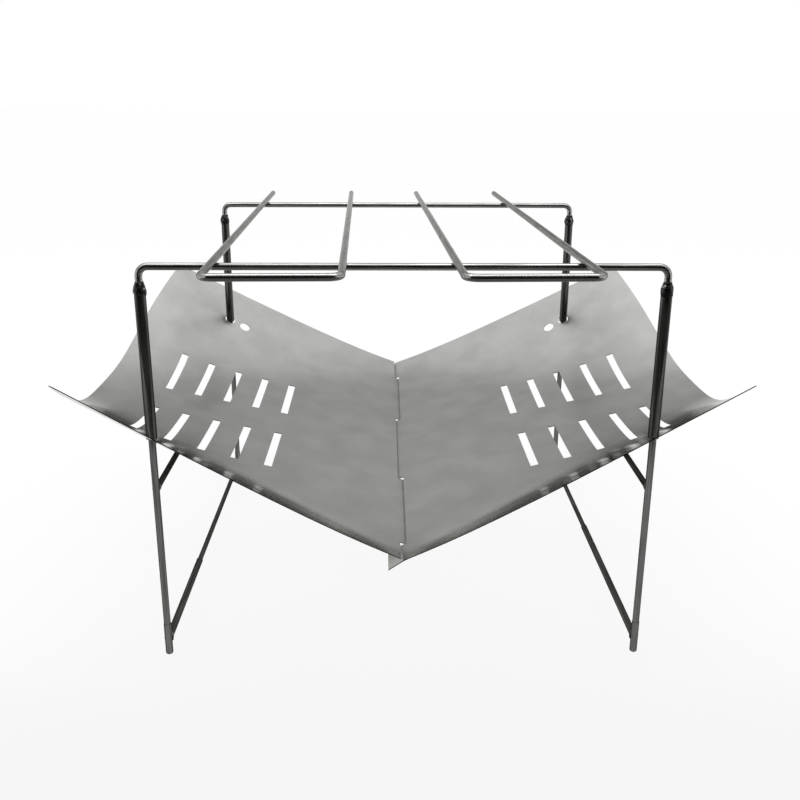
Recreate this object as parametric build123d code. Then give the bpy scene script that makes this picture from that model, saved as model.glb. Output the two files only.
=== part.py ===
"""Folding camping wood stove: two sprung stainless sheets in a wire frame.

Millimetres, +Z up. The origin is on the ground, at the middle of the four
feet. The front of the stove faces -Y.
"""

import os
from math import atan, cos, radians, sin, tan

from build123d import *

# Wire frame
POST_SPACING_X = 275.0  # between the left and right posts, axis to axis
POST_SPACING_Y = 275.0  # between the front and rear posts, axis to axis
BAR_HEIGHT = 230.0  # ground to the axis of the top bars
BAR_WIRE = 3.9  # diameter of the wire of the top bars and pot rests
BAR_BEND_RADIUS = 5.0  # centre line of the bend at each end of a top bar

# Gate tubes, which are welded to the ends of a top bar and slip over the legs
TUBE_OUTER = 6.1
TUBE_BORE = 4.5
TUBE_BELOW_BAR = 14.0  # axis of a top bar down to the top of its tubes
TUBE_ABOVE_HOLE = 1.0  # lower end of a tube above the middle of the sheet's hole
WELD_BULGE = 6.3  # widest diameter of the weld between wire and tube
WELD_HEIGHT = 5.6

# Side frames
LEG_ROD = 3.9
LEG_TOP_GAP = 0.3  # under the weld that closes the tube
FOOT_DIAMETER = 4.3
FOOT_HEIGHT = 20.0
FOOT_ROUNDING = 1.2
UPPER_RAIL_ROD = 3.4
UPPER_RAIL_HEIGHT = 105.0
LOWER_RAIL_TUBE = 4.2
LOWER_RAIL_TUBE_BORE = 3.46
LOWER_RAIL_ROD = 3.3
LOWER_RAIL_HEIGHT = 9.5
LEFT_RAIL_TUBE_LENGTH = 98.0  # from the axis of the front leg
RIGHT_RAIL_TUBE_LENGTH = 148.0
RAIL_ROD_OVERLAP = 30.0  # length of rail rod inside the rail tube
COPE_GAP = 0.05  # between a coped rod end and the leg that it is welded to
FILLET_REACH = 2.6  # length of the weld fillet at a rail's end, from the leg's axis
FILLET_INSET = 0.12  # how much narrower than the leg the fillet's wide end is

# Sheets. Each is nearly flat in its middle. It is bent up along two lines, which
# run from the ends of the seam outward, because the posts hold its corners up
SHEET_THICKNESS = 0.5
SEAM_BELOW_RAIL = 29.1  # the flat middle, carried on to the seam, below the upper rails' axes
SHEET_RISE = 11.7  # degrees, slope of the flat middle from the seam outward
SHEET_TILT = 0.5  # degrees, slope of the flat middle from front to rear
BEND_SEAM_Y = 181.0  # where a bend line starts at the seam
BEND_OUTER_X = 190.0
BEND_OUTER_Y = 57.0  # where it is at BEND_OUTER_X
BEND_ANGLE = 35.6  # degrees, slope that a raised wing adds across its bend line
BEND_HALF_WIDTH = 26.8  # how gently the sheet bends
SEAM_PAST_POST = 43.9  # level distance, an end of the seam beyond the posts
CORNER_PAST_POST_X = 44.0
CORNER_PAST_POST_Y = 26.0
CORNER_RADIUS = 14.0
OUTER_BOW = 23.3  # how far the outer edge bows out between its corners

# Holes and air slots of a sheet
POST_HOLE = 8.4
SPARE_HOLE_INSET = 11.7  # from a post hole towards the seam
SLOT_WIDTH = 5.0
SLOT_LENGTH = 60.6
SLOT_ROWS = 2
SLOT_COLUMNS = 5
SLOT_ROW_PITCH = 100.5  # along the metal
SLOT_COLUMN_PITCH = 20.4
SLOT_FIRST_COLUMN_X = 82.8

# Comb joint of the two sheets
TAB_LENGTH = 8.5  # level distance past the seam, under the other sheet
TAB_SLOPE = 27.0  # degrees below level
TAB_BEND_HALF_WIDTH = 1.5  # how gently a tab bends down from its sheet
TAB_SLIT = 2.2  # open gap between a tab and the next one
TAB_RECESS = 1.8  # from the seam to the edge that a tab passes under
OUTER_SLIT_Y = 153.0  # of the slits nearest the ends of the seam
INNER_SLIT_Y = 56.0

# Pot rests
REST_WIDTH = 66.0  # between the two prongs, axis to axis
REST_BEND_RADIUS = 6.5
REST_FRONT_Y = -188.0
REST_REAR_Y = 190.0
REST_CLEARANCE = 0.1  # between a pot rest and the bars under it
LEFT_REST_X = -67.5
RIGHT_REST_X = 55.0
LEFT_REST_TURN = 1.2  # degrees about +Z, as it happens to lie
RIGHT_REST_TURN = 1.7

HALF_X = POST_SPACING_X / 2
HALF_Y = POST_SPACING_Y / 2
TUBE_TOP = BAR_HEIGHT - TUBE_BELOW_BAR
WELD_TOP = TUBE_TOP + WELD_HEIGHT
SHEET_MIDDLE_HEIGHT = UPPER_RAIL_HEIGHT - SEAM_BELOW_RAIL
SEAM_HALF_LENGTH = HALF_Y + SEAM_PAST_POST
CORNER_X = HALF_X + CORNER_PAST_POST_X
CORNER_Y = HALF_Y + CORNER_PAST_POST_Y
CUTTER_HEIGHT = 4 * POST_HOLE  # enough to pass through a sheet's curve
BLANK_MARGIN = 4.0  # bent metal beyond the outline that is cut from it


def bend_height(distance):
    """Height that a bend adds, by the distance past its line in plan."""
    spread = (distance**2 + BEND_HALF_WIDTH**2) ** 0.5
    return tan(radians(BEND_ANGLE)) * (spread + distance) / 2


def tab_drop(x):
    """How far a tab falls below its sheet's own slope, by the distance from the seam."""
    spread = (x**2 + TAB_BEND_HALF_WIDTH**2) ** 0.5
    return (tan(radians(TAB_SLOPE)) - tan(radians(SHEET_RISE))) * (spread - x) / 2


def sheet_height(x, y):
    """Height of a sheet's upper face; x counts from the seam outward."""
    flat = SHEET_MIDDLE_HEIGHT + x * tan(radians(SHEET_RISE)) + y * tan(radians(SHEET_TILT))
    turn = atan((BEND_SEAM_Y - BEND_OUTER_Y) / BEND_OUTER_X)
    past_rear = (y - BEND_SEAM_Y) * cos(turn) + x * sin(turn)
    past_front = (-y - BEND_SEAM_Y) * cos(turn) + x * sin(turn)
    return flat + bend_height(past_rear) + bend_height(past_front) - tab_drop(x)


def sheet_plane(x, y):
    """A plane that lies on the sheet at x and y, with its local Y to the rear."""
    step = 0.5
    outward = Vector(2 * step, 0, sheet_height(x + step, y) - sheet_height(x - step, y))
    rearward = Vector(0, 2 * step, sheet_height(x, y + step) - sheet_height(x, y - step))
    normal = outward.cross(rearward)
    return Plane(origin=(x, y, sheet_height(x, y)), x_dir=rearward.cross(normal), z_dir=normal)


def y_at_length(x, length):
    """The y that lies a length along the metal from the middle, at one x."""
    steps = 60
    y = 0.0
    for _ in range(steps):
        slope = (sheet_height(x, y + 0.5) - sheet_height(x, y - 0.5)) / 1.0
        y += length / steps * cos(atan(slope))
    return y


def even_steps(low, high, count):
    """Evenly spaced values from low to high."""
    return [low + (high - low) * index / (count - 1) for index in range(count)]


def bent_metal():
    """Sheet metal in the right-hand sheet's bent shape, larger than the sheet."""
    near_seam = even_steps(-TAB_LENGTH - BLANK_MARGIN, TAB_LENGTH, 20)
    x_values = near_seam + even_steps(TAB_LENGTH, CORNER_X + OUTER_BOW + BLANK_MARGIN, 16)[1:]
    reach = SEAM_HALF_LENGTH + BLANK_MARGIN
    y_values = even_steps(-reach, reach, 27)
    points = [[Vector(x, y, sheet_height(x, y)) for y in y_values] for x in x_values]
    face = Face.make_surface_from_array_of_points(points, tol=0.02, min_deg=3, max_deg=5)
    return thicken(face, amount=SHEET_THICKNESS, normal_override=(0, 0, -1))


def sheet_outline():
    """The right-hand sheet's outline in plan with a full row of tabs, tall enough to trim it."""
    with BuildPart() as outline:
        with BuildSketch():
            with BuildLine():
                Line((-TAB_LENGTH, SEAM_HALF_LENGTH), (-TAB_LENGTH, -SEAM_HALF_LENGTH))
                Line((-TAB_LENGTH, -SEAM_HALF_LENGTH), (0, -SEAM_HALF_LENGTH))
                Line((0, -SEAM_HALF_LENGTH), (CORNER_X, -CORNER_Y))
                ThreePointArc(
                    (CORNER_X, -CORNER_Y),
                    (CORNER_X + OUTER_BOW, 0),
                    (CORNER_X, CORNER_Y),
                )
                Line((CORNER_X, CORNER_Y), (0, SEAM_HALF_LENGTH))
                Line((0, SEAM_HALF_LENGTH), (-TAB_LENGTH, SEAM_HALF_LENGTH))
            blank = make_face()
            corners = blank.vertices().filter_by(lambda vertex: vertex.X > CORNER_X / 2)
            fillet(corners, CORNER_RADIUS)
        extrude(amount=2 * POST_SPACING_X)
    return outline.part


def slot_cutters():
    """Boxes that cut the air slots, square to the sheet at each slot."""
    cutters = []
    for column in range(SLOT_COLUMNS):
        x = SLOT_FIRST_COLUMN_X + column * SLOT_COLUMN_PITCH
        for row in range(SLOT_ROWS):
            y = y_at_length(x, (row - (SLOT_ROWS - 1) / 2) * SLOT_ROW_PITCH)
            cutters.append(sheet_plane(x, y) * Box(SLOT_WIDTH, SLOT_LENGTH, CUTTER_HEIGHT))
    return cutters


def hole_cutters():
    """Cylinders for the post holes and the spare holes beside them."""
    cutters = []
    for inset in (0.0, SPARE_HOLE_INSET):
        for y in (-HALF_Y, HALF_Y):
            plane = sheet_plane(HALF_X - inset, y)
            cutters.append(plane * Cylinder(POST_HOLE / 2, CUTTER_HEIGHT))
    return cutters


def comb_strips():
    """Ranges of y between the slits of the seam, the rear one first."""
    rear_ends = [SEAM_HALF_LENGTH, OUTER_SLIT_Y, INNER_SLIT_Y]
    ends = rear_ends + [-y for y in reversed(rear_ends)]
    return list(zip(ends[1:], ends[:-1]))


def comb_cutters(tab_strips):
    """Boxes that leave tabs on some strips and cut the others back past the seam."""
    cutters = []
    for index, (low, high) in enumerate(comb_strips()):
        if index not in tab_strips:
            low -= TAB_SLIT / 2
            high += TAB_SLIT / 2
            depth = 2 * TAB_LENGTH + TAB_RECESS
            waste = Box(depth, high - low, 2 * POST_SPACING_X)
            cutters.append(Pos(TAB_RECESS - depth / 2, (low + high) / 2, 0) * waste)
    return cutters


def make_sheet(side, tab_strips):
    """One sheet, on the left (-1) or the right (+1), with its tabs."""
    sheet = bent_metal() & sheet_outline()
    sheet -= slot_cutters() + hole_cutters() + comb_cutters(tab_strips)
    if side < 0:
        sheet = sheet.mirror(Plane.YZ)
    return sheet


def post_places():
    """Name, x and y of the four posts."""
    places = []
    for depth_name, y in (("front", -HALF_Y), ("rear", HALF_Y)):
        for side_name, x in (("left", -HALF_X), ("right", HALF_X)):
            places.append((f"{depth_name}_{side_name}", x, y))
    return places


def make_leg():
    top = TUBE_TOP - LEG_TOP_GAP
    rod = Cylinder(LEG_ROD / 2, top - FOOT_HEIGHT, align=(Align.CENTER, Align.CENTER, Align.MIN))
    rod = chamfer(rod.edges().group_by(Axis.Z)[-1], LEG_ROD / 10)
    return Pos(0, 0, FOOT_HEIGHT) * rod


def make_foot():
    stub = Cylinder(FOOT_DIAMETER / 2, FOOT_HEIGHT, align=(Align.CENTER, Align.CENTER, Align.MIN))
    return fillet(stub.edges().group_by(Axis.Z)[0], FOOT_ROUNDING)


def make_gate_tube():
    bottom = sheet_height(HALF_X, -HALF_Y) + TUBE_ABOVE_HOLE
    with BuildPart() as tube:
        with BuildSketch(Plane.XY.offset(bottom)):
            Circle(TUBE_OUTER / 2)
            Circle(TUBE_BORE / 2, mode=Mode.SUBTRACT)
        extrude(amount=TUBE_TOP - bottom)
    return tube.part


def make_weld():
    """The bulge of weld metal between a tube's top and the wire."""
    wire_radius = BAR_WIRE / 2
    with BuildPart() as weld:
        with BuildSketch(Plane.XZ):
            with BuildLine():
                Line((0, TUBE_TOP), (TUBE_OUTER / 2, TUBE_TOP))
                ThreePointArc(
                    (TUBE_OUTER / 2, TUBE_TOP),
                    (WELD_BULGE / 2, TUBE_TOP + WELD_HEIGHT * 0.45),
                    (wire_radius, WELD_TOP),
                )
                Line((wire_radius, WELD_TOP), (0, WELD_TOP))
                Line((0, WELD_TOP), (0, TUBE_TOP))
            make_face()
        revolve(axis=Axis.Z)
    return weld.part


def make_gate_bar(y):
    """A top bar with its bent ends and the welds at both ends."""
    with BuildPart() as bar:
        with BuildLine(Plane.XZ.offset(-y)) as path:
            FilletPolyline(
                (-HALF_X, WELD_TOP),
                (-HALF_X, BAR_HEIGHT),
                (HALF_X, BAR_HEIGHT),
                (HALF_X, WELD_TOP),
                radius=BAR_BEND_RADIUS,
            )
        with BuildSketch(Plane(origin=path.wires()[0] @ 0, z_dir=(0, 0, 1))):
            Circle(BAR_WIRE / 2)
        sweep(path=path.wires()[0])
    weld = make_weld()
    return bar.part + Pos(-HALF_X, y, 0) * weld + Pos(HALF_X, y, 0) * weld


def rail_end_fillet(radius, post_radius):
    """A short cone that widens a rail towards its leg, along +Y from 0."""
    wide = post_radius - FILLET_INSET
    cone = Cone(wide, radius, FILLET_REACH, align=(Align.CENTER, Align.CENTER, Align.MIN))
    return Rot(-90, 0, 0) * cone


def coped_rail(start_y, end_y, radius, height, bore=0.0):
    """A rail along Y, coped to the leg at each end that meets one."""
    post_radius = (FOOT_DIAMETER if height < FOOT_HEIGHT else LEG_ROD) / 2
    middle = Pos(0, (start_y + end_y) / 2, 0)
    rail = middle * Rot(90, 0, 0) * Cylinder(radius, end_y - start_y)
    for side, end in ((-1, start_y), (1, end_y)):
        if abs(end - side * HALF_Y) < LEG_ROD and radius < post_radius - FILLET_INSET:
            turn = 0 if side < 0 else 180
            rail += Pos(0, side * HALF_Y, 0) * Rot(0, 0, turn) * rail_end_fillet(radius, post_radius)
    if bore:
        rail -= middle * Rot(90, 0, 0) * Cylinder(bore / 2, 2 * (end_y - start_y))
    for y in (-HALF_Y, HALF_Y):
        rail -= Pos(0, y, 0) * Cylinder(post_radius + COPE_GAP, 4 * post_radius)
    rail = max(rail.solids(), key=lambda solid: solid.volume)
    return Pos(0, 0, height) * rail


def make_pot_rest(centre_x, turn):
    """A wire bent into a long U, closed at the front."""
    height = BAR_HEIGHT + BAR_WIRE + REST_CLEARANCE
    half = REST_WIDTH / 2
    with BuildPart() as rest:
        with BuildLine(Plane.XY.offset(height)) as path:
            FilletPolyline(
                (-half, REST_REAR_Y),
                (-half, REST_FRONT_Y),
                (half, REST_FRONT_Y),
                (half, REST_REAR_Y),
                radius=REST_BEND_RADIUS,
            )
        with BuildSketch(Plane(origin=path.wires()[0] @ 0, z_dir=(0, -1, 0))):
            Circle(BAR_WIRE / 2)
        sweep(path=path.wires()[0])
    return Pos(centre_x, 0, 0) * Rot(0, 0, turn) * rest.part


def build_nodes():
    """Every sub-part by its name."""
    nodes = {}
    strips = range(len(comb_strips()))
    nodes["left_sheet"] = make_sheet(-1, [index for index in strips if index % 2 == 1])
    nodes["right_sheet"] = make_sheet(1, [index for index in strips if index % 2 == 0])

    leg, foot, tube = make_leg(), make_foot(), make_gate_tube()
    for name, x, y in post_places():
        nodes[f"{name}_leg"] = Pos(x, y, 0) * leg
        nodes[f"{name}_foot"] = Pos(x, y, 0) * foot
        nodes[f"{name}_gate_tube"] = Pos(x, y, 0) * tube

    for name, y in (("front", -HALF_Y), ("rear", HALF_Y)):
        nodes[f"{name}_gate_bar"] = make_gate_bar(y)

    for name, x, tube_length in (
        ("left", -HALF_X, LEFT_RAIL_TUBE_LENGTH),
        ("right", HALF_X, RIGHT_RAIL_TUBE_LENGTH),
    ):
        tube_end = -HALF_Y + tube_length
        upper = coped_rail(-HALF_Y, HALF_Y, UPPER_RAIL_ROD / 2, UPPER_RAIL_HEIGHT)
        outer = coped_rail(-HALF_Y, tube_end, LOWER_RAIL_TUBE / 2, LOWER_RAIL_HEIGHT, LOWER_RAIL_TUBE_BORE)
        inner = coped_rail(tube_end - RAIL_ROD_OVERLAP, HALF_Y, LOWER_RAIL_ROD / 2, LOWER_RAIL_HEIGHT)
        nodes[f"{name}_upper_rail"] = Pos(x, 0, 0) * upper
        nodes[f"{name}_lower_rail_tube"] = Pos(x, 0, 0) * outer
        nodes[f"{name}_lower_rail_rod"] = Pos(x, 0, 0) * inner

    nodes["left_pot_rest"] = make_pot_rest(LEFT_REST_X, LEFT_REST_TURN)
    nodes["right_pot_rest"] = make_pot_rest(RIGHT_REST_X, RIGHT_REST_TURN)
    return nodes


os.makedirs("parts", exist_ok=True)
for node_name, solid in build_nodes().items():
    export_step(solid, f"parts/{node_name}.step")
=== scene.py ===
"""Looks of a folding camping wood stove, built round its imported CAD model.

Metres, +Z up, with the origin on the ground at the middle of the four feet.
The CAD solids keep their shapes and get their finishes here. The irregular
weld metal, which is too small for the solids, is added as pieces of its own.
"""

import math

import bmesh
import bpy
from mathutils import Matrix, Vector, noise


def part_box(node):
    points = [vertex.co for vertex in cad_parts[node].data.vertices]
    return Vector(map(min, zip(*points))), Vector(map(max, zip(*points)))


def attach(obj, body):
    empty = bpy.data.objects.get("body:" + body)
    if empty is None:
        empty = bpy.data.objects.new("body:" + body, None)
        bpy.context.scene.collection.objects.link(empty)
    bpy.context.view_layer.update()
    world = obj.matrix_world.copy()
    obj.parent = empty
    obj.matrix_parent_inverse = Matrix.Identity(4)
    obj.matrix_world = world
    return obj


bl_info = {
    "name": "Folding camping wood stove",
    "version": (1, 0, 0),
    "blender": (4, 5, 0),
    "location": "3D View > Sidebar > Stove",
    "description": "Finishes, weld metal and stage for a folding camping wood stove",
    "category": "Object",
}

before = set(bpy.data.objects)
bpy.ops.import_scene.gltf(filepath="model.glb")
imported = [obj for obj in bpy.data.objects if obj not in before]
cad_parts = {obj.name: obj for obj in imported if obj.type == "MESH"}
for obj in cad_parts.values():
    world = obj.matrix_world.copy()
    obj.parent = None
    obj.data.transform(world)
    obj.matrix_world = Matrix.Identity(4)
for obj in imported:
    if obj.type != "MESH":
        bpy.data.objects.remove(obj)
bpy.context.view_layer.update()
MM = 0.001


def middle(node):
    """The middle of a CAD node's box."""
    low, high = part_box(node)
    return (low + high) / 2


def thickness(node, axis):
    """How thick a straight CAD node is along one axis (0, 1 or 2)."""
    low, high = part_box(node)
    return high[axis] - low[axis]


# Places and sizes of the CAD nodes
POSTS = ("front_left", "front_right", "rear_left", "rear_right")
HALF_X = middle("front_right_leg").x
HALF_Y = middle("rear_left_leg").y
TUBE_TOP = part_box("front_left_gate_tube")[1].z
WIRE_RADIUS = thickness("left_pot_rest", 2) / 2  # a pot rest lies level, one wire high

# Marks on the metal. The real rolling and drawing lines are under 0.1 mm apart,
# too fine to show, so the properties below draw them as coarse as they need to be.
GRAIN_LENGTH = 40  # of a rolling line, in widths
GRAIN_DEPTH = 0.002 * MM
LINE_LENGTH = 60  # of a drawing line, in widths
LINE_DEPTH = 0.02 * MM
PATCH_SIZE = 6 * MM  # of the dull patches that handling leaves
RIPPLE_DEPTH = 0.15 * MM  # of the ripples on a weld
SMUDGES_PER_WAVE = 3
RIPPLES_PER_LUMP = 4
UNEVENNESS = 0.006  # how far grain and smudges change the sheet's roughness
NOISE_LOW, NOISE_HIGH = 0.35, 0.65  # most of a noise texture lies between these

# Weld metal
RING_POINTS = 28
FINE_LUMPS, FINE_SHARE = 2.3, 0.4  # how much finer and lower the second lumps are
FILLET_SHARE = 0.97  # a fillet's last ring is this share of the rail, so it sinks in

# Camera, worked out from where the posts, bars and slots are in the photograph
CAMERA_PLACE = (-0.01026, -0.61946, 0.31642)
CAMERA_PITCH = 18.25  # degrees below level
CAMERA_YAW = 0.975  # degrees towards +X
CAMERA_ROLL = 0.269
CAMERA_SENSOR = 36.0
CAMERA_LENS = 42.2


def linear(hex_colour):
    """An sRGB hex colour as linear red, green and blue with an alpha of 1."""
    channels = [int(hex_colour[i : i + 2], 16) / 255 for i in (1, 3, 5)]
    return [c / 12.92 if c <= 0.04045 else ((c + 0.055) / 1.055) ** 2.4 for c in channels] + [1.0]


def colour_property(name, description, hex_colour):
    """A colour that the user can change."""
    return bpy.props.FloatVectorProperty(
        name=name,
        description=description,
        subtype="COLOR",
        size=4,
        min=0.0,
        max=1.0,
        default=linear(hex_colour),
    )


def length_property(name, description, default):
    """A length that the user can change."""
    return bpy.props.FloatProperty(
        name=name, description=description, unit="LENGTH", precision=5, default=default
    )


def factor_property(name, description, default):
    """A share from 0 to 1 that the user can change."""
    return bpy.props.FloatProperty(
        name=name, description=description, subtype="FACTOR", min=0.0, max=1.0, default=default
    )


def level_property(name, description, default, unit="NONE"):
    """A level of light that the user can change."""
    return bpy.props.FloatProperty(
        name=name, description=description, unit=unit, min=0.0, default=default
    )


class SheetProperties(bpy.types.PropertyGroup):
    """Finish of the two sheets."""

    colour: colour_property("Colour", "Colour of the cold-rolled sheet", "#adadab")
    edge_colour: colour_property("Grazing", "Colour at a grazing angle", "#d6d6d4")
    # The cut edges are near black: partly duller sheared metal, partly painted shade in the slots
    cut_and_shade_colour: colour_property("Cut edge", "Colour of the sheared edges", "#2e2d2c")
    roughness: factor_property("Roughness", "How far a reflection is blurred", 0.4)
    grazing_roughness: factor_property("Grazing roughness", "The same at a grazing angle", 0.13)
    stretch: factor_property("Stretch", "How far the rolling lines stretch a reflection", 0.3)
    grain_width: length_property("Grain", "Width of a rolling line", 0.6 * MM)
    dent_depth: length_property("Dent", "How far the sheet is pressed in round a post", 0.4 * MM)
    dent_width: length_property("Dent width", "How far that dent reaches", 9 * MM)
    wave_height: length_property("Wave", "How far the sprung sheet is out of true", 0.08 * MM)
    wave_length: length_property("Wave length", "Distance between the waves", 60 * MM)


class WireProperties(bpy.types.PropertyGroup):
    """Finish of the gates and the pot rests."""

    colour: colour_property("Colour", "Colour of the polished wire", "#a8a8a6")
    # The tubes get a darker copy of the wire's colour: painted shade for the dark room they mirror
    shaded_tube_colour: colour_property("Tube", "Colour of the gate tubes", "#5a5a58")
    edge_colour: colour_property("Grazing", "Colour at a grazing angle", "#b4b4b2")
    roughness: factor_property("Roughness", "How far a reflection is blurred", 0.14)
    line_width: length_property("Draw lines", "Width of a drawing line", 0.4 * MM)


class RodProperties(bpy.types.PropertyGroup):
    """Finish of the side frames."""

    colour: colour_property("Colour", "Colour of the bare drawn rod", "#686866")
    edge_colour: colour_property("Grazing", "Colour at a grazing angle", "#6c6c6a")
    roughness: factor_property("Roughness", "How far a reflection is blurred", 0.32)
    line_width: length_property("Draw lines", "Width of a drawing line", 0.5 * MM)


class WeldProperties(bpy.types.PropertyGroup):
    """Shape and finish of the weld metal."""

    colour: colour_property("Colour", "Colour of the weld as it cooled", "#4c4b4a")
    oxide_colour: colour_property("Oxide", "Colour of the thin oxide on it", "#2f2d2b")
    roughness: factor_property("Roughness", "How far a reflection is blurred", 0.34)
    bead_radius: length_property("Bead", "Radius of the bead on top of a tube", 3.5 * MM)
    lump_height: length_property("Lumps", "Height of the lumps of a bead", 0.6 * MM)
    lump_size: length_property("Lump size", "Distance between the lumps", 2.6 * MM)


class StageProperties(bpy.types.PropertyGroup):
    """Floor, dark cards, surroundings and lamp."""

    floor_colour: colour_property("Floor", "Colour of the matt floor", "#f7f7f6")
    floor_size: length_property("Floor size", "Side of the square floor", 30.0)
    floor_glow: factor_property("Floor glow", "How much of the floor is plain white", 0.9)
    flag_colour: colour_property("Flag", "Colour of the black cloth beside the camera", "#2a2a2a")
    apron_colour: colour_property("Apron", "Colour of the dark card in front", "#6e6e6e")
    flag_width: length_property("Flag width", "Width of the flag and the apron", 1.2)
    wall_level: level_property("Walls", "Level of the light from the walls", 0.57)
    ceiling_level: level_property("Ceiling", "Level of the light from above", 1.1)
    strip_power: level_property("Strip lamp", "Power of the lamp overhead", 9.0, "POWER")
    strip_length: length_property("Strip length", "Length of the lamp overhead", 1.8)
    strip_width: length_property("Strip width", "Width of the lamp overhead", 0.45)
    strip_height: length_property("Strip height", "Height of the lamp over the floor", 1.5)


class StoveProperties(bpy.types.PropertyGroup):
    """Everything about the stove that a user would change."""

    sheet: bpy.props.PointerProperty(type=SheetProperties)
    wire: bpy.props.PointerProperty(type=WireProperties)
    rod: bpy.props.PointerProperty(type=RodProperties)
    weld: bpy.props.PointerProperty(type=WeldProperties)
    stage: bpy.props.PointerProperty(type=StageProperties)


def add_node(tree, kind, settings=None, inputs=None):
    """Add a node. A value in inputs is a constant, or a socket that is linked in."""
    node = tree.nodes.new(kind)
    for name, value in (settings or {}).items():
        setattr(node, name, value)
    for name, value in (inputs or {}).items():
        if isinstance(value, bpy.types.NodeSocket):
            tree.links.new(value, node.inputs[name])
        else:
            node.inputs[name].default_value = value
    return node


def new_material(name):
    """An empty node material with its output."""
    material = bpy.data.materials.new(name)
    material.use_nodes = True
    material.node_tree.nodes.clear()
    output = add_node(material.node_tree, "ShaderNodeOutputMaterial")
    return material, material.node_tree, output


def finish_with(nodes, material):
    """Give CAD nodes one material in all of their slots."""
    for name in nodes:
        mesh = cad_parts[name].data
        mesh.materials.clear()
        mesh.materials.append(material)


# Materials


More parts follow.
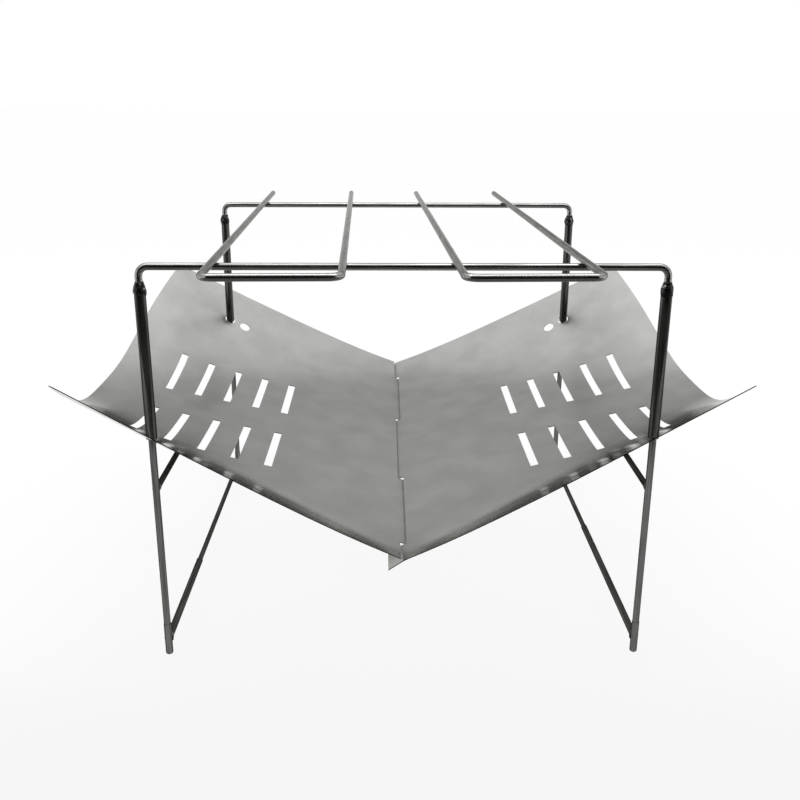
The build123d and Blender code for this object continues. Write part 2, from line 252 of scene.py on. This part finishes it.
def cold_rolled_stainless(finish):
    """Stainless sheet, cold rolled to a satin finish.

    It mirrors the room softly, sharper at a grazing angle, with faint lines
    along the way it was rolled. Where the posts spring the sheet it is slightly
    out of true, which bends what it mirrors into cloudy light and dark.
    """
    material, tree, output = new_material("cold_rolled_stainless_satin")
    place = add_node(tree, "ShaderNodeTexCoord").outputs["Object"]

    # Rolling lines along Y, cloudy waves and smaller smudges
    across, along = 1 / finish.grain_width, 1 / (GRAIN_LENGTH * finish.grain_width)
    stretched = add_node(
        tree,
        "ShaderNodeMapping",
        {"vector_type": "POINT"},
        {"Vector": place, "Scale": (across, along, across)},
    )
    grain = add_node(
        tree,
        "ShaderNodeTexNoise",
        inputs={"Vector": stretched.outputs["Vector"], "Scale": 1.0, "Detail": 3.0},
    )
    cloud = add_node(
        tree,
        "ShaderNodeTexNoise",
        inputs={"Vector": place, "Scale": 1 / finish.wave_length, "Detail": 1.0},
    )
    smudge = add_node(
        tree,
        "ShaderNodeTexNoise",
        inputs={"Vector": place, "Scale": SMUDGES_PER_WAVE / finish.wave_length, "Detail": 4.0},
    )

    # Roughness, lower at a grazing angle
    grain_roughness = add_node(
        tree,
        "ShaderNodeMapRange",
        inputs={
            "Value": grain.outputs["Fac"],
            "From Min": 0.3,
            "From Max": 0.7,
            "To Min": -UNEVENNESS,
            "To Max": UNEVENNESS,
        },
    )
    smudged_roughness = add_node(
        tree,
        "ShaderNodeMapRange",
        inputs={
            "Value": smudge.outputs["Fac"],
            "From Min": NOISE_LOW,
            "From Max": NOISE_HIGH,
            "To Min": -UNEVENNESS,
            "To Max": UNEVENNESS,
        },
    )
    uneven = add_node(
        tree,
        "ShaderNodeMath",
        {"operation": "ADD"},
        {0: grain_roughness.outputs["Result"], 1: smudged_roughness.outputs["Result"]},
    )
    grazing = add_node(tree, "ShaderNodeLayerWeight", inputs={"Blend": 0.5})
    even = add_node(
        tree,
        "ShaderNodeMapRange",
        inputs={
            "Value": grazing.outputs["Facing"],
            "From Min": 0.6,
            "From Max": 0.88,
            "To Min": finish.roughness,
            "To Max": finish.grazing_roughness,
        },
    )
    roughness = add_node(
        tree,
        "ShaderNodeMath",
        {"operation": "ADD"},
        {0: even.outputs["Result"], 1: uneven.outputs["Value"]},
    )

    # Bumps: the waves, a dent round each post, and the rolling lines
    mirrored = add_node(tree, "ShaderNodeVectorMath", {"operation": "ABSOLUTE"}, {0: place})
    from_post = add_node(
        tree,
        "ShaderNodeVectorMath",
        {"operation": "SUBTRACT"},
        {0: mirrored.outputs["Vector"], 1: (HALF_X, HALF_Y, 0)},
    )
    level = add_node(
        tree,
        "ShaderNodeVectorMath",
        {"operation": "MULTIPLY"},
        {0: from_post.outputs["Vector"], 1: (1, 1, 0)},
    )
    distance = add_node(
        tree, "ShaderNodeVectorMath", {"operation": "LENGTH"}, {0: level.outputs["Vector"]}
    )
    dent = add_node(
        tree,
        "ShaderNodeMapRange",
        {"interpolation_type": "SMOOTHERSTEP"},
        {
            "Value": distance.outputs["Value"],
            "From Min": 0.0,
            "From Max": finish.dent_width,
            "To Min": 0.0,
            "To Max": 1.0,
        },
    )
    cloud_bump = add_node(
        tree,
        "ShaderNodeBump",
        inputs={"Strength": 1.0, "Distance": finish.wave_height, "Height": cloud.outputs["Fac"]},
    )
    dent_bump = add_node(
        tree,
        "ShaderNodeBump",
        inputs={
            "Strength": 1.0,
            "Distance": finish.dent_depth,
            "Height": dent.outputs["Result"],
            "Normal": cloud_bump.outputs["Normal"],
        },
    )
    grain_bump = add_node(
        tree,
        "ShaderNodeBump",
        inputs={
            "Strength": 0.1,
            "Distance": GRAIN_DEPTH,
            "Height": grain.outputs["Fac"],
            "Normal": dent_bump.outputs["Normal"],
        },
    )

    # Colour: the faces point mostly up or down, and the sheared edges sideways, which are dark
    # sheared metal with painted shade on top
    geometry = add_node(tree, "ShaderNodeNewGeometry")
    facing = add_node(
        tree, "ShaderNodeSeparateXYZ", inputs={"Vector": geometry.outputs["True Normal"]}
    )
    upward = add_node(
        tree, "ShaderNodeMath", {"operation": "ABSOLUTE"}, {0: facing.outputs["Z"]}
    )
    face_share = add_node(
        tree,
        "ShaderNodeMapRange",
        inputs={"Value": upward.outputs["Value"], "From Min": 0.4, "From Max": 0.5},
    )
    cloudiness = add_node(
        tree,
        "ShaderNodeMapRange",
        inputs={
            "Value": smudge.outputs["Fac"],
            "From Min": NOISE_LOW,
            "From Max": NOISE_HIGH,
            "To Min": 0.93,
            "To Max": 1.05,
        },
    )
    cloudy = add_node(
        tree,
        "ShaderNodeVectorMath",
        {"operation": "SCALE"},
        {0: finish.colour[:3], "Scale": cloudiness.outputs["Result"]},
    )
    colour = add_node(
        tree,
        "ShaderNodeMixRGB",
        inputs={
            "Fac": face_share.outputs["Result"],
            "Color1": finish.cut_and_shade_colour,
            "Color2": cloudy.outputs["Vector"],
        },
    )

    across_rolling = add_node(tree, "ShaderNodeCombineXYZ", inputs={"X": 1.0})
    shader = add_node(
        tree,
        "ShaderNodeBsdfPrincipled",
        inputs={
            "Base Color": colour.outputs["Color"],
            "Metallic": 1.0,
            "Roughness": roughness.outputs["Value"],
            "Anisotropic": finish.stretch,
            "Tangent": across_rolling.outputs["Vector"],
            "Specular Tint": finish.edge_colour,
            "Normal": grain_bump.outputs["Normal"],
        },
    )
    tree.links.new(shader.outputs["BSDF"], output.inputs["Surface"])
    return material


def drawn_steel(name, finish, base_colour, axis):
    """Stainless wire, rod or tube drawn along one axis (0, 1 or 2).

    The die leaves fine lines along it, which break up the long highlights, and
    handling leaves small dull patches.
    """
    material, tree, output = new_material(f"{name}_{'xyz'[axis]}")
    place = add_node(tree, "ShaderNodeTexCoord").outputs["Object"]
    scale = [1 / finish.line_width] * 3
    scale[axis] /= LINE_LENGTH
    stretched = add_node(
        tree, "ShaderNodeMapping", inputs={"Vector": place, "Scale": scale}
    )
    lines = add_node(
        tree,
        "ShaderNodeTexNoise",
        inputs={"Vector": stretched.outputs["Vector"], "Scale": 1.0, "Detail": 2.0},
    )
    patches = add_node(
        tree,
        "ShaderNodeTexNoise",
        inputs={"Vector": place, "Scale": 1 / PATCH_SIZE, "Detail": 3.0},
    )
    roughness = add_node(
        tree,
        "ShaderNodeMapRange",
        inputs={
            "Value": patches.outputs["Fac"],
            "From Min": 0.35,
            "From Max": 0.7,
            "To Min": finish.roughness - 0.04,
            "To Max": finish.roughness + 0.1,
        },
    )
    streak = add_node(
        tree,
        "ShaderNodeMapRange",
        inputs={
            "Value": lines.outputs["Fac"],
            "From Min": NOISE_LOW,
            "From Max": NOISE_HIGH,
            "To Min": 0.55,
            "To Max": 1.25,
        },
    )
    streaky = add_node(
        tree,
        "ShaderNodeVectorMath",
        {"operation": "SCALE"},
        {0: base_colour[:3], "Scale": streak.outputs["Result"]},
    )
    bump = add_node(
        tree,
        "ShaderNodeBump",
        inputs={"Strength": 0.4, "Distance": LINE_DEPTH, "Height": lines.outputs["Fac"]},
    )
    shader = add_node(
        tree,
        "ShaderNodeBsdfPrincipled",
        inputs={
            "Base Color": streaky.outputs["Vector"],
            "Metallic": 1.0,
            "Roughness": roughness.outputs["Result"],
            "Specular Tint": finish.edge_colour,
            "Normal": bump.outputs["Normal"],
        },
    )
    tree.links.new(shader.outputs["BSDF"], output.inputs["Surface"])
    return material


def weld_metal(finish):
    """Stainless weld bead, left as it cooled: dark with oxide, and bright where it is bare."""
    material, tree, output = new_material("stainless_weld_as_cooled")
    place = add_node(tree, "ShaderNodeTexCoord").outputs["Object"]
    patches = add_node(
        tree,
        "ShaderNodeTexNoise",
        inputs={"Vector": place, "Scale": 1 / finish.lump_size, "Detail": 3.0},
    )
    bare = add_node(
        tree,
        "ShaderNodeMapRange",
        inputs={"Value": patches.outputs["Fac"], "From Min": 0.42, "From Max": 0.6},
    )
    colour = add_node(
        tree,
        "ShaderNodeMixRGB",
        inputs={
            "Fac": bare.outputs["Result"],
            "Color1": finish.oxide_colour,
            "Color2": finish.colour,
        },
    )
    ripples = add_node(
        tree,
        "ShaderNodeTexNoise",
        inputs={"Vector": place, "Scale": RIPPLES_PER_LUMP / finish.lump_size, "Detail": 2.0},
    )
    bump = add_node(
        tree,
        "ShaderNodeBump",
        inputs={"Strength": 0.5, "Distance": RIPPLE_DEPTH, "Height": ripples.outputs["Fac"]},
    )
    shader = add_node(
        tree,
        "ShaderNodeBsdfPrincipled",
        inputs={
            "Base Color": colour.outputs["Color"],
            "Metallic": 1.0,
            "Roughness": finish.roughness,
            "Normal": bump.outputs["Normal"],
        },
    )
    tree.links.new(shader.outputs["BSDF"], output.inputs["Surface"])
    return material


def matt_card(name, colour):
    """Matt card or cloth. It throws light back evenly and has no gloss."""
    material, tree, output = new_material(name)
    card = add_node(tree, "ShaderNodeBsdfDiffuse", inputs={"Color": colour, "Roughness": 0.5})
    tree.links.new(card.outputs["BSDF"], output.inputs["Surface"])
    return material


def lit_floor(settings):
    """Matt white card. It takes the stove's shadow, and looks white to the eye and in metal."""
    material, tree, output = new_material("matt_white_card")
    card = add_node(
        tree, "ShaderNodeBsdfDiffuse", inputs={"Color": settings.floor_colour, "Roughness": 0.5}
    )
    white = add_node(tree, "ShaderNodeEmission", inputs={"Color": (1, 1, 1, 1), "Strength": 1.0})
    path = add_node(tree, "ShaderNodeLightPath")
    mirrored = add_node(
        tree,
        "ShaderNodeMath",
        {"operation": "MAXIMUM"},
        {0: path.outputs["Is Glossy Ray"], 1: path.outputs["Is Transmission Ray"]},
    )
    seen = add_node(
        tree,
        "ShaderNodeMath",
        {"operation": "MAXIMUM"},
        {0: path.outputs["Is Camera Ray"], 1: mirrored.outputs["Value"]},
    )
    glow = add_node(
        tree,
        "ShaderNodeMath",
        {"operation": "MULTIPLY"},
        {0: seen.outputs["Value"], 1: settings.floor_glow},
    )
    shader = add_node(
        tree,
        "ShaderNodeMixShader",
        inputs={"Fac": glow.outputs["Value"], 1: card.outputs["BSDF"], 2: white.outputs["Emission"]},
    )
    tree.links.new(shader.outputs["Shader"], output.inputs["Surface"])
    material.cycles.emission_sampling = "NONE"  # the glow lights nothing
    return material


# Weld metal


def lumpy_tube(name, rings, material, finish, seed):
    """A closed mesh through rings of (centre, radius, axis), roughened with weld lumps."""
    mesh = bpy.data.meshes.new(name)
    shape = bmesh.new()
    loops = []
    for centre, radius, axis in rings:
        turn = Vector(axis).to_track_quat("Z", "Y")
        loop = []
        for step in range(RING_POINTS):
            angle = math.tau * step / RING_POINTS
            outward = turn @ Vector((math.cos(angle), math.sin(angle), 0))
            spot = Vector(centre) + outward * radius
            lump = noise.noise(spot / finish.lump_size + Vector((seed, 0, 0)))
            fine_spot = FINE_LUMPS * spot / finish.lump_size
            lump += FINE_SHARE * noise.noise(fine_spot + Vector((0, seed, 0)))
            loop.append(shape.verts.new(spot + outward * lump * finish.lump_height))
        loops.append(loop)
    for lower, upper in zip(loops, loops[1:]):
        for step in range(RING_POINTS):
            following = (step + 1) % RING_POINTS
            shape.faces.new((lower[step], lower[following], upper[following], upper[step]))
    shape.faces.new(list(reversed(loops[0])))
    shape.faces.new(loops[-1])
    bmesh.ops.recalc_face_normals(shape, faces=shape.faces)
    for face in shape.faces:
        face.smooth = True
    shape.to_mesh(mesh)
    shape.free()
    mesh.materials.append(material)
    piece = bpy.data.objects.new(name, mesh)
    bpy.context.scene.collection.objects.link(piece)
    return piece


def tube_weld(post, material, finish, seed):
    """The bead that closes a gate tube and holds the bar's wire."""
    tube = f"{post}_gate_tube"
    tube_radius = thickness(tube, 0) / 2
    centre = middle(tube)
    # Height over the tube's top in mm, and radius
    outline = (
        (-1.4, tube_radius + 0.02 * MM),
        (-0.6, tube_radius + 0.25 * MM),
        (0.4, finish.bead_radius * 0.97),
        (1.4, finish.bead_radius),
        (2.6, finish.bead_radius * 0.98),
        (3.8, finish.bead_radius * 0.86),
        (4.8, finish.bead_radius * 0.72),
        (5.6, WIRE_RADIUS + 0.35 * MM),
        (6.3, WIRE_RADIUS + 0.05 * MM),
    )
    rings = [
        ((centre.x, centre.y, TUBE_TOP + height * MM), radius, (0, 0, 1))
        for height, radius in outline
    ]
    return lumpy_tube(f"{post}_tube_weld", rings, material, finish, seed)


def rail_weld(rail, end, material, finish, seed):
    """The fillet where the front or rear end of a rail meets a leg."""
    centre = middle(rail)
    inner_radius = thickness(rail, 2) / 2 * FILLET_SHARE
    toward = 1 if end == "front" else -1
    post_y = -toward * HALF_Y
    # Reach from the post's middle and height over the rail, both in mm
    outline = ((1.2, 0.6), (1.9, 0.5), (2.6, 0.3), (3.4, 0.12), (4.2, 0.0))
    rings = [
        ((centre.x, post_y + toward * reach * MM, centre.z), inner_radius + height * MM, (0, 1, 0))
        for reach, height in outline
    ]
    return lumpy_tube(f"{rail}_{end}_weld", rings, material, finish, seed)


# Stage


def add_card(name, corners, material):
    """A flat card of the stage."""
    mesh = bpy.data.meshes.new(name)
    mesh.from_pydata(corners, [], [(0, 1, 2, 3)])
    mesh.materials.append(material)
    card = bpy.data.objects.new(name, mesh)
    bpy.context.scene.collection.objects.link(card)
    return card


def add_floor(settings):
    """A plain matt floor that reaches to the horizon."""
    half = settings.floor_size / 2
    corners = [(-half, -half, 0), (half, -half, 0), (half, half, 0), (-half, half, 0)]
    add_card("floor", corners, lit_floor(settings))


def add_flags(settings):
    """Two dark cards on the camera's side, which only the metal mirrors.

    The apron lies level in front of the stove, and the flag stands at its far
    edge. They give the bright round bars and tubes their dark middles, and stay
    out of every picture.
    """
    half = settings.flag_width / 2
    near_y = -0.17  # at the front edges of the sheets
    far_y = -0.55  # just in front of the camera
    low_z = 0.12
    high_z = 0.8
    foot = [(-half, far_y, low_z), (half, far_y, low_z)]
    apron = foot + [(half, near_y, low_z), (-half, near_y, low_z)]
    flag = foot + [(half, far_y, high_z), (-half, far_y, high_z)]
    for card in (
        add_card("apron", apron, matt_card("matt_grey_card", settings.apron_colour)),
        add_card("flag", flag, matt_card("matt_black_cloth", settings.flag_colour)),
    ):
        card.visible_camera = False


def add_surroundings(scene, settings):
    """A white backdrop at the horizon, softer walls above it and a bright ceiling."""
    world = bpy.data.worlds.new("surroundings")
    scene.world = world
    world.use_nodes = True
    tree = world.node_tree
    tree.nodes.clear()
    # The direction's Z is the sine of its angle above the horizon
    direction = add_node(tree, "ShaderNodeTexCoord").outputs["Generated"]
    parts = add_node(tree, "ShaderNodeSeparateXYZ", inputs={"Vector": direction})
    wall = add_node(
        tree,
        "ShaderNodeMapRange",
        {"interpolation_type": "SMOOTHSTEP"},
        {
            "Value": parts.outputs["Z"],
            "From Min": 0.1,
            "From Max": 0.3,
            "To Min": 1.0,
            "To Max": settings.wall_level,
        },
    )
    level = add_node(
        tree,
        "ShaderNodeMapRange",
        {"interpolation_type": "SMOOTHSTEP"},
        {
            "Value": parts.outputs["Z"],
            "From Min": 0.32,
            "From Max": 0.72,
            "To Min": wall.outputs["Result"],
            "To Max": settings.ceiling_level,
        },
    )
    background = add_node(
        tree,
        "ShaderNodeBackground",
        inputs={"Color": (1, 1, 1, 1), "Strength": level.outputs["Result"]},
    )
    output = add_node(tree, "ShaderNodeOutputWorld")
    tree.links.new(background.outputs["Background"], output.inputs["Surface"])


def add_strip_lamp(scene, settings):
    """A long soft lamp overhead, which draws a bright line along each bar."""
    lamp = bpy.data.lights.new("strip_lamp", "AREA")
    lamp.shape = "RECTANGLE"
    lamp.size = settings.strip_length
    lamp.size_y = settings.strip_width
    lamp.energy = settings.strip_power
    strip = bpy.data.objects.new("strip_lamp", lamp)
    strip.location = (0.0, -0.05, settings.strip_height)
    scene.collection.objects.link(strip)


def add_camera(scene):
    """The camera at the photograph's angle."""
    data = bpy.data.cameras.new("camera")
    data.sensor_width = CAMERA_SENSOR
    data.lens = CAMERA_LENS
    data.clip_start = 0.01
    data.clip_end = 50.0
    camera = bpy.data.objects.new("camera", data)
    turn = Matrix.Rotation(math.radians(-CAMERA_YAW), 4, "Z")
    tip = Matrix.Rotation(math.radians(90 - CAMERA_PITCH), 4, "X")
    roll = Matrix.Rotation(math.radians(CAMERA_ROLL), 4, "Z")
    camera.matrix_world = Matrix.Translation(CAMERA_PLACE) @ turn @ tip @ roll
    scene.collection.objects.link(camera)
    scene.camera = camera


# Operators


class STOVE_OT_sheets(bpy.types.Operator):
    """Finish the two sprung sheets"""

    bl_idname = "stove.sheets"
    bl_label = "Sheets"

    def execute(self, context):
        material = cold_rolled_stainless(context.scene.stove.sheet)
        finish_with(("left_sheet", "right_sheet"), material)
        return {"FINISHED"}


class STOVE_OT_gates(bpy.types.Operator):
    """Finish the two gates: a top bar with a tube at each end"""

    bl_idname = "stove.gates"
    bl_label = "Gates"

    def execute(self, context):
        finish = context.scene.stove.wire
        along_x = drawn_steel("drawn_stainless_polished", finish, finish.colour, 0)
        # The tubes take the darker colour, which is painted shade
        along_z = drawn_steel("drawn_stainless_tube_shaded", finish, finish.shaded_tube_colour, 2)
        finish_with(("front_gate_bar", "rear_gate_bar"), along_x)
        finish_with([f"{post}_gate_tube" for post in POSTS], along_z)
        return {"FINISHED"}


class STOVE_OT_pot_rests(bpy.types.Operator):
    """Finish the two U-shaped pot rests"""

    bl_idname = "stove.pot_rests"
    bl_label = "Pot rests"

    def execute(self, context):
        finish = context.scene.stove.wire
        material = drawn_steel("drawn_stainless_polished", finish, finish.colour, 1)
        finish_with(("left_pot_rest", "right_pot_rest"), material)
        return {"FINISHED"}


class STOVE_OT_side_frames(bpy.types.Operator):
    """Finish the legs, feet and rails"""

    bl_idname = "stove.side_frames"
    bl_label = "Side frames"

    def execute(self, context):
        finish = context.scene.stove.rod
        upright = drawn_steel("drawn_stainless_bare", finish, finish.colour, 2)
        level = drawn_steel("drawn_stainless_bare", finish, finish.colour, 1)
        for post in POSTS:
            finish_with((f"{post}_leg", f"{post}_foot"), upright)
        for side in ("left", "right"):
            rails = ("upper_rail", "lower_rail_tube", "lower_rail_rod")
            finish_with([f"{side}_{rail}" for rail in rails], level)
        return {"FINISHED"}


class STOVE_OT_tube_welds(bpy.types.Operator):
    """Add the bead on top of each gate tube"""

    bl_idname = "stove.tube_welds"
    bl_label = "Tube welds"

    def execute(self, context):
        finish = context.scene.stove.weld
        material = weld_metal(finish)
        for number, post in enumerate(POSTS):
            piece = tube_weld(post, material, finish, seed=10 * number)
            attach(piece, f"{post.split('_')[0]}_gate")
        return {"FINISHED"}


class STOVE_OT_rail_welds(bpy.types.Operator):
    """Add the fillet at each end of each rail"""

    bl_idname = "stove.rail_welds"
    bl_label = "Rail welds"

    def execute(self, context):
        finish = context.scene.stove.weld
        material = bpy.data.materials.get("stainless_weld_as_cooled") or weld_metal(finish)
        # Rail, its welded end, and the seed of the lumps there
        ends = (
            ("upper_rail", "front", 7),
            ("upper_rail", "rear", 10),
            ("lower_rail_tube", "front", 13),
            ("lower_rail_rod", "rear", 16),
        )
        for side in ("left", "right"):
            for rail, end, seed in ends:
                piece = rail_weld(f"{side}_{rail}", end, material, finish, seed)
                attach(piece, "stand")
        return {"FINISHED"}


class STOVE_OT_stage(bpy.types.Operator):
    """Add the floor, the flags, the surroundings, the lamp and the camera"""

    bl_idname = "stove.stage"
    bl_label = "Stage"

    def execute(self, context):
        settings = context.scene.stove.stage
        add_floor(settings)
        add_flags(settings)
        add_surroundings(context.scene, settings)
        add_strip_lamp(context.scene, settings)
        add_camera(context.scene)
        context.scene.view_settings.view_transform = "Standard"
        return {"FINISHED"}


# Panel


class STOVE_PT_parts(bpy.types.Panel):
    """Builds the stove's parts one by one"""

    bl_label = "Stove"
    bl_space_type = "VIEW_3D"
    bl_region_type = "UI"
    bl_category = "Stove"

    def draw(self, context):
        stove = context.scene.stove
        for group_name, operators in PANEL_ROWS:
            box = self.layout.box()
            for operator in operators:
                box.operator(operator.bl_idname)
            group = getattr(stove, group_name)
            for name in group.__annotations__:
                box.prop(group, name)


PANEL_ROWS = (
    ("sheet", (STOVE_OT_sheets,)),
    ("wire", (STOVE_OT_gates, STOVE_OT_pot_rests)),
    ("rod", (STOVE_OT_side_frames,)),
    ("weld", (STOVE_OT_tube_welds, STOVE_OT_rail_welds)),
    ("stage", (STOVE_OT_stage,)),
)
OPERATORS = [operator for _, operators in PANEL_ROWS for operator in operators]
PROPERTIES = [SheetProperties, WireProperties, RodProperties, WeldProperties, StageProperties]
CLASSES = PROPERTIES + [StoveProperties] + OPERATORS + [STOVE_PT_parts]


def register():
    """Add the classes, and the stove's values to every scene."""
    for cls in CLASSES:
        bpy.utils.register_class(cls)
    bpy.types.Scene.stove = bpy.props.PointerProperty(type=StoveProperties)


def unregister():
    """Take them out again."""
    del bpy.types.Scene.stove
    for cls in reversed(CLASSES):
        bpy.utils.unregister_class(cls)


def main():
    """Build everything in order."""
    register()
    bpy.ops.stove.sheets()
    bpy.ops.stove.gates()
    bpy.ops.stove.pot_rests()
    bpy.ops.stove.side_frames()
    bpy.ops.stove.tube_welds()
    bpy.ops.stove.rail_welds()
    bpy.ops.stove.stage()


if __name__ == "__main__":
    main()
